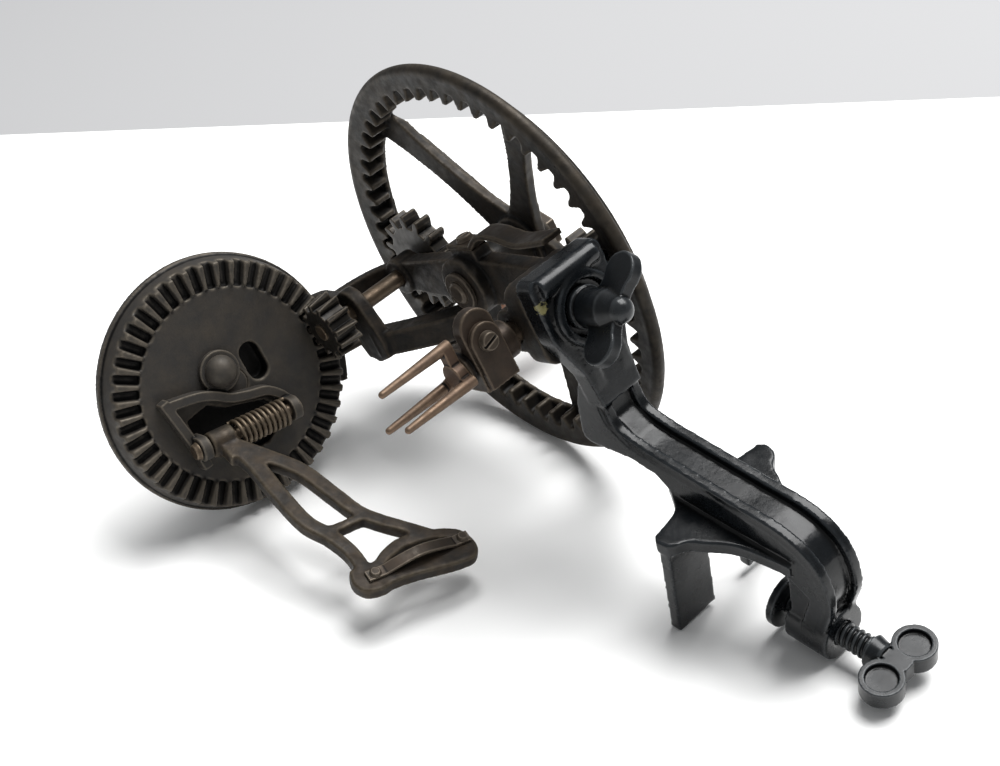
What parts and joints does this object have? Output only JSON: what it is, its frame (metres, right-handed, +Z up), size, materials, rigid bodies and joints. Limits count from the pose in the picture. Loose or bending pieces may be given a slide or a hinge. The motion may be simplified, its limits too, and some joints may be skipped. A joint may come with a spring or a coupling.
{
  "type": "apple peeler",
  "caption": "Hand-cranked iron apple peeler: an internally toothed wheel drives a pronged fork and a turntable that carries a sprung paring arm, with a screw clamp for a table edge.",
  "frame": {"origin": "on the floor, below the middle of the bounding box, with the machine lying on its side as in the picture", "axes": "+Z up from the floor, +X to the right and -Y towards the viewer of the picture; the shafts lie at a slant in this frame"},
  "size_m": [0.2572, 0.2162, 0.1485],
  "materials": {
    "frame_iron": "dark brown-black worn iron, satin",
    "wheel_iron": "dark brown-black worn iron, satin",
    "pinion_iron": "dark greasy iron",
    "table_iron": "dull brown-black iron",
    "arm_iron": "warm brown iron patina",
    "strap_iron": "worn brown iron",
    "clamp_japan": "glossy black japanning",
    "screw_japan": "glossy black japanning",
    "rod_steel": "brownish steel",
    "spring_steel": "grey-brown spring wire",
    "blade_steel": "dull steel",
    "fork_bronze": "coppery brown worn iron",
    "fastener_steel": "worn brown steel",
    "grip_wood": "dark turned hardwood"
  },
  "bodies": {
    "frame": {"main_frame": "frame_iron", "top_strap": "strap_iron", "strap_screw": "fastener_steel", "turntable_pivot": "rod_steel"},
    "wheel": {"drive_wheel": "wheel_iron", "wheel_axle": "rod_steel", "axle_washer": "fastener_steel", "axle_nut": "fastener_steel", "crank_stud": "rod_steel", "crank_washer": "fastener_steel"},
    "grip": {"crank_grip": "grip_wood"},
    "rod": {"drive_rod": "rod_steel", "rod_pinion": "pinion_iron", "crown_pinion": "pinion_iron"},
    "fork": {"fork_spindle": "rod_steel", "fork_pinion": "pinion_iron", "fork_head": "fork_bronze", "apple_fork": "fork_bronze", "fork_plate": "fork_bronze", "fork_screw": "fastener_steel"},
    "table": {"turntable": "table_iron", "arm_bracket": "table_iron", "bracket_rivet": "fastener_steel", "hinge_pin": "rod_steel", "arm_spring": "spring_steel"},
    "arm": {"paring_arm": "arm_iron", "knife_blade": "blade_steel", "blade_screws": "fastener_steel"},
    "clamp": {"clamp_body": "clamp_japan"},
    "wing": {"wing_screw": "screw_japan"},
    "pad": {"clamp_pad": "screw_japan"},
    "screw": {"clamp_screw": "screw_japan"}
  },
  "joints": [
    {"name": "wheel_turn", "type": "hinge", "parent": "frame", "child": "wheel", "pos_m": [0.01044, 0.04124, 0.07443], "axis": [-0.7333, -0.6699, -0.1163], "continuous": true},
    {"name": "grip_spin", "type": "hinge", "parent": "wheel", "child": "grip", "pos_m": [0.0165, 0.08725, 0.02914], "axis": [-0.7333, -0.6699, -0.1163], "continuous": true},
    {"name": "rod_turn", "type": "hinge", "parent": "frame", "child": "rod", "pos_m": [-0.03305, 0.062, 0.0571], "axis": [-0.7333, -0.6699, -0.1163], "continuous": true},
    {"name": "fork_turn", "type": "hinge", "parent": "frame", "child": "fork", "pos_m": [0.02812, -0.01049, 0.08894], "axis": [-0.7333, -0.6699, -0.1163], "continuous": true},
    {"name": "table_turn", "type": "hinge", "parent": "frame", "child": "table", "pos_m": [-0.08907, 0.02989, 0.04494], "axis": [0.6114, -0.7245, 0.3182], "continuous": true},
    {"name": "arm_swing", "type": "hinge", "parent": "table", "child": "arm", "pos_m": [-0.07963, 0.01688, 0.03507], "axis": [0.7784, 0.6231, -0.0769], "range_deg": [-10, 3], "stiffness_Nm_per_rad": 0.6},
    {"name": "clamp_swivel", "type": "hinge", "parent": "frame", "child": "clamp", "pos_m": [0.03314, -0.01971, 0.09318], "axis": [0.6114, -0.7245, 0.3182], "range_deg": [-15, 11]},
    {"name": "wing_turn", "type": "hinge", "parent": "frame", "child": "wing", "pos_m": [0.03986, -0.02768, 0.09668], "axis": [0.6114, -0.7245, 0.3182], "continuous": true},
    {"name": "screw_turn", "type": "hinge", "parent": "pad", "child": "screw", "pos_m": [0.10566, -0.08457, 0.00951], "axis": [0.6778, -0.7336, -0.0488], "range_deg": [-1700, 370]},
    {"name": "pad_slide", "type": "slide", "parent": "clamp", "child": "pad", "axis": [0.6778, -0.7336, -0.0488], "range_m": [-0.0094, 0.002]}
  ],
  "couplings": [
    {"joint": "rod_turn", "follows": "wheel_turn", "ratio": 3.7333},
    {"joint": "fork_turn", "follows": "wheel_turn", "ratio": 5.6},
    {"joint": "table_turn", "follows": "wheel_turn", "ratio": -0.99556},
    {"joint": "screw_turn", "follows": "pad_slide", "rad_per_m": 3141.6}
  ]
}
